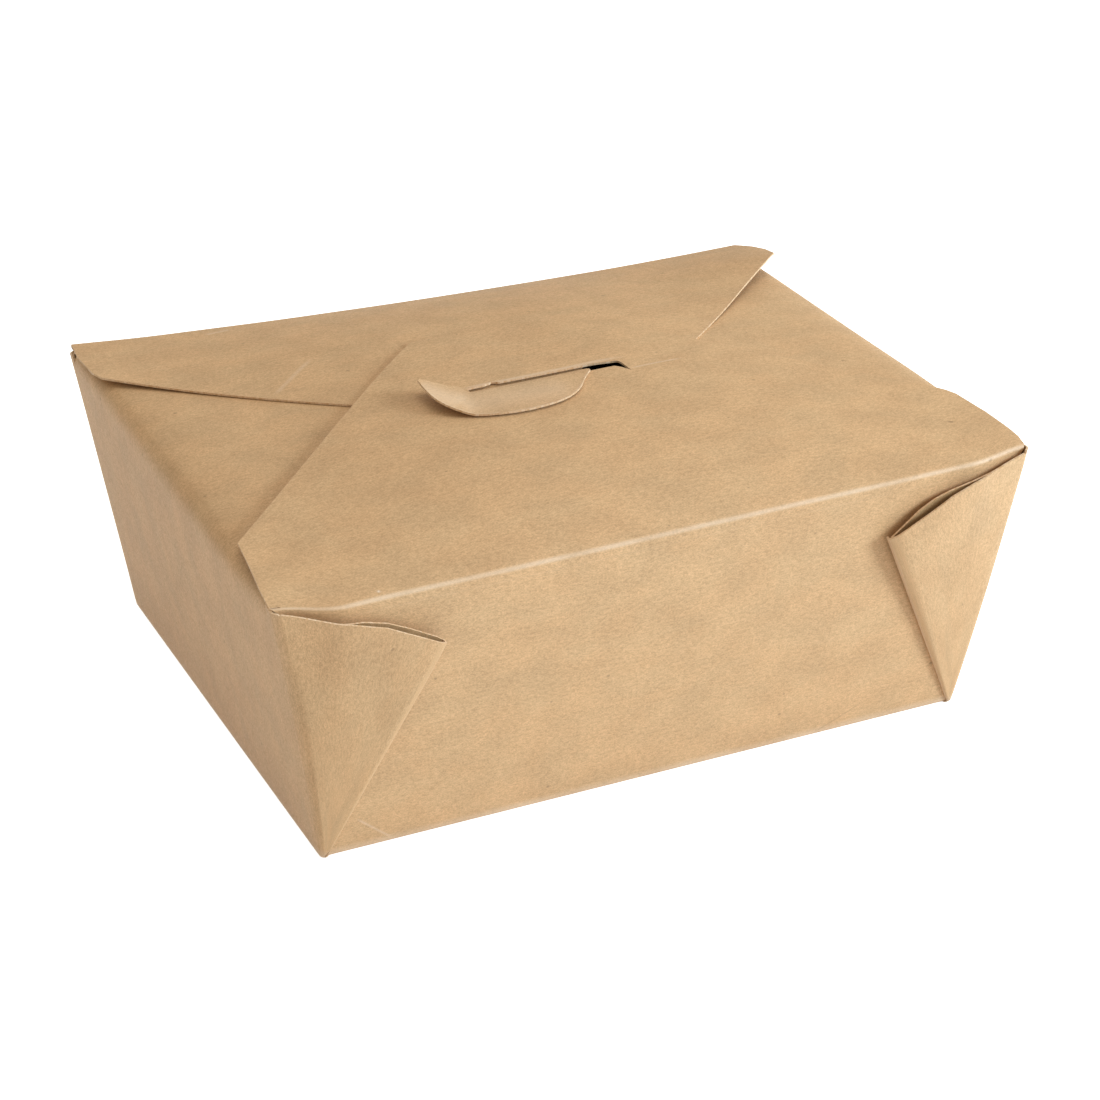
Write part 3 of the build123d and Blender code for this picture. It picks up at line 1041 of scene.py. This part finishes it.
# Tongue
tongue = {
    "root": -0.4,
    "neckLeft": -17.0,
    "neckRight": 10.6,
    "neckTop": -5.2,
    "neckDip": 0.3,  # how far the neck sags in the slit before it reaches the back flap
    "rim": ((-22.0, -1.1), (-27.3, 1.4), (-28.1, 0.7), (-28.2, -2.7), (-28.0, -6.0), (-27.4, -8.6),
            (-26.3, -10.8), (-25.0, -12.4), (-23.4, -13.8), (-21.4, -15.0), (-19.1, -16.0), (-16.2, -16.9),
            (-13.1, -17.5), (-9.7, -17.7), (-6.2, -17.5), (-3.6, -17.1), (-1.4, -16.5), (0.6, -15.7),
            (2.4, -14.6), (4.2, -13.1), (5.7, -11.3), (6.7, -9.9), (7.5, -8.7), (8.4, -7.7), (9.3, -6.6),
            (10.2, -5.7)),
    "neckGap": 0.2,
    "neckDipY": -1.5,
    "neckDipWidth": 0.8,
    "neckRise": 0.3,
    "neckSide": 2.5,
    "gap": 0.5,  # how far the blade floats over the flap, at its root and at its edge
    "edgeGap": 0.95,
    "gapRun": (-5.0, -19.0),
    "barbLift": 0.3,  # how steeply the barb rises past its fold
    "barbFold": ((-18.6, -3.5), (-21.6, -15.5)),
    "barbRidge": 0.05,
    "barbRidgeWidth": 0.8,
    "grid": 1.1,
    "gridShift": 0.013,  # keeps the grid's lines off the outline's corners
    "gridX": (-28.0, 12.0),
    "gridY": (-20.0, 1.0),
    "rimPale": 0.8,
}


def tongueOutline():
    left, right = tongue["neckLeft"], tongue["neckRight"]
    return [(left, tongue["root"]), (left, slit["rear"] - tongue["neckGap"]), *tongue["rim"],
            (right, slit["front"] - 2 * tongue["neckGap"]), (right, tongue["root"])]


# The neck climbs through the slit, the blade lies on the front flap and the barb curls off it
def tongueHeight(x, y):
    below = tray["height"] + lidRise(x, tongue["root"], lid["backDrop"])
    below -= tongue["neckDip"] * foldMark(y - tongue["neckDipY"], tongue["neckDipWidth"])
    share = smooth(tongue["neckTop"], slit["rear"] + tongue["neckRise"], y)
    if x < tongue["neckLeft"]:
        share *= smooth(tongue["neckLeft"] - tongue["neckSide"], tongue["neckLeft"], x)
    above = tray["height"] + lidRise(x, y)
    above += mix(tongue["gap"], tongue["edgeGap"], smooth(*tongue["gapRun"], y))
    (startX, startY), (endX, endY) = tongue["barbFold"]
    foldX = mix(startX, endX, (y - startY) / (endY - startY))
    above += tongue["barbLift"] * max(0.0, foldX - x)
    above += tongue["barbRidge"] * foldMark(x - foldX, tongue["barbRidgeWidth"])
    return mix(above, below, share)


def buildTongue():
    outline = tongueOutline()
    bpy.ops.object.select_all(action="DESELECT")
    bpy.ops.mesh.primitive_circle_add(vertices=len(outline), radius=20, fill_type="NGON")
    item = bpy.context.object
    item.name = item.data.name = "tongue_sheet"
    layers(item)
    for corner, (x, y) in zip(item.data.vertices, outline):
        corner.co = (x, y, 0)
    editStart(item)
    bpy.ops.mesh.select_all(action="SELECT")
    bpy.ops.mesh.normals_make_consistent(inside=False)
    for axis, (place, last) in enumerate((tongue["gridX"], tongue["gridY"])):
        normal = Vector((axis == 0, axis == 1, 0))
        while place < last:
            bpy.ops.mesh.select_all(action="SELECT")
            cut = normal * (place + tongue["gridShift"])
            bpy.ops.mesh.bisect(plane_co=cut, plane_no=normal, use_fill=False)
            place += tongue["grid"]
    mesh = bmesh.from_edit_mesh(item.data)
    mesh.normal_update()
    mesh.faces.ensure_lookup_table()
    if mesh.faces[0].normal.z < 0:
        bpy.ops.mesh.select_all(action="SELECT")
        bpy.ops.mesh.flip_normals()
    sheet = mesh.verts.layers.float_vector["sheet"]
    crease = mesh.verts.layers.float["crease"]
    for corner in mesh.verts:
        x, y = corner.co.xy
        corner[sheet] = tonguePlace(x, y)
        if corner.is_boundary and y < slit["front"] + 1:
            corner[crease] = tongue["rimPale"]
        corner.co.z = tongueHeight(x, y)
    bmesh.update_edit_mesh(item.data)
    finishSheet(item, "tray", ["lock_tongue"])
    return item


lockTongue = buildTongue()
print("tongue", len(lockTongue.data.polygons), "faces")

# Stage and camera
camera = {
    "azimuth": -25.129,
    "elevation": 28.413,
    "roll": 0.222,
    "distance": 765.423,
    "slideX": 3.454,
    "slideY": 23.658,
    "focalShare": 3291 / 1100,  # focal length over the frame's width
    "sensor": 36,
    "clip": (0.01, 20),
}


def buildCamera():
    a, e, r = (radians(camera[key]) for key in ("azimuth", "elevation", "roll"))
    back = Vector((sin(a) * cos(e), -cos(a) * cos(e), sin(e)))
    right = Vector((cos(a), sin(a), 0))
    up = back.cross(right)
    across = right * cos(r) + up * sin(r)
    upright = up * cos(r) - right * sin(r)
    place = back * camera["distance"] + across * camera["slideX"] + upright * camera["slideY"]
    bpy.ops.object.camera_add(location=place * mm)
    item = bpy.context.object
    item.rotation_mode = "QUATERNION"
    item.rotation_quaternion = Matrix((across, upright, back)).transposed().to_quaternion()
    item.data.sensor_width = camera["sensor"]
    item.data.lens = camera["sensor"] * camera["focalShare"]
    item.data.clip_start, item.data.clip_end = camera["clip"]
    bpy.context.scene.camera = item


stage = {
    "floor": (0.86, 0.86, 0.86),
    "floorSize": 8,
    "floorDrop": 0.0001,
    "floorRoughness": 0.9,
    "floorShine": 0.1,
    "floorGlow": 0.85,  # what the camera sees of the floor's own white
    "fill": (1.0, 0.935, 0.80),
    "fillStrength": 0.54,
    "lamps": (  # place and aim in metres, width, watts, colour
        ((1.15, -0.85, 0.56), (0.02, 0.0, 0.04), 0.5, 22.0, (0.74, 0.89, 1.0)),
        ((0.35, 0.05, 1.25), (0.0, 0.0, 0.04), 0.7, 3.0, (1.0, 0.98, 0.95)),
    ),
}


# Adds plain white where the camera, a reflection or glass looks at it, and keeps the shading
def whiteForCamera(tree, shade, glow):
    path = putNode(tree, "ShaderNodeLightPath").outputs
    mirrored = sums(tree, "MAXIMUM", path["Is Glossy Ray"], path["Is Transmission Ray"])
    seen = sums(tree, "MAXIMUM", path["Is Camera Ray"], mirrored)
    white = putNode(tree, "ShaderNodeEmission", {"Color": (1, 1, 1, 1), "Strength": glow}).outputs[0]
    none = putNode(tree, "ShaderNodeEmission", {"Color": (0, 0, 0, 1), "Strength": 0.0}).outputs[0]
    extra = putNode(tree, "ShaderNodeMixShader", {0: seen, 1: none, 2: white}).outputs[0]
    return putNode(tree, "ShaderNodeAddShader", {0: shade, 1: extra}).outputs[0]


def buildStage():
    bpy.ops.object.select_all(action="DESELECT")
    bpy.ops.mesh.primitive_plane_add(size=stage["floorSize"], location=(0, 0, -stage["floorDrop"]))
    floor = bpy.context.object
    floor.name = "floor"
    paint = bpy.data.materials.new("floorPaint")
    paint.use_nodes = True
    tree = paint.node_tree
    shader = tree.nodes["Principled BSDF"]
    shader.inputs["Base Color"].default_value = (*stage["floor"], 1)
    shader.inputs["Roughness"].default_value = stage["floorRoughness"]
    shader.inputs["Specular IOR Level"].default_value = stage["floorShine"]
    lit = whiteForCamera(tree, shader.outputs[0], stage["floorGlow"])
    tree.links.new(lit, tree.nodes["Material Output"].inputs["Surface"])
    floor.data.materials.append(paint)

    world = bpy.data.worlds.new("studio")
    world.use_nodes = True
    tree = world.node_tree
    fill = tree.nodes["Background"]
    fill.inputs["Color"].default_value = (*stage["fill"], 1)
    fill.inputs["Strength"].default_value = stage["fillStrength"]
    path = putNode(tree, "ShaderNodeLightPath").outputs
    seen = sums(tree, "MAXIMUM", path["Is Camera Ray"], path["Is Transmission Ray"])
    white = putNode(tree, "ShaderNodeBackground", {"Color": (1, 1, 1, 1), "Strength": 1.0}).outputs[0]
    shown = putNode(tree, "ShaderNodeMixShader", {0: seen, 1: fill.outputs[0], 2: white}).outputs[0]
    tree.links.new(shown, tree.nodes["World Output"].inputs["Surface"])
    bpy.context.scene.world = world

    for place, aim, width, watts, colour in stage["lamps"]:
        bpy.ops.object.light_add(type="AREA", location=place)
        lamp = bpy.context.object
        lamp.rotation_mode = "QUATERNION"
        lamp.rotation_quaternion = (Vector(aim) - Vector(place)).to_track_quat("-Z", "Y")
        lamp.data.shape = "SQUARE"
        lamp.data.size = width
        lamp.data.energy = watts
        lamp.data.color = colour
    bpy.context.scene.view_settings.view_transform = "Standard"


buildCamera()
buildStage()
print("camera, floor and light")
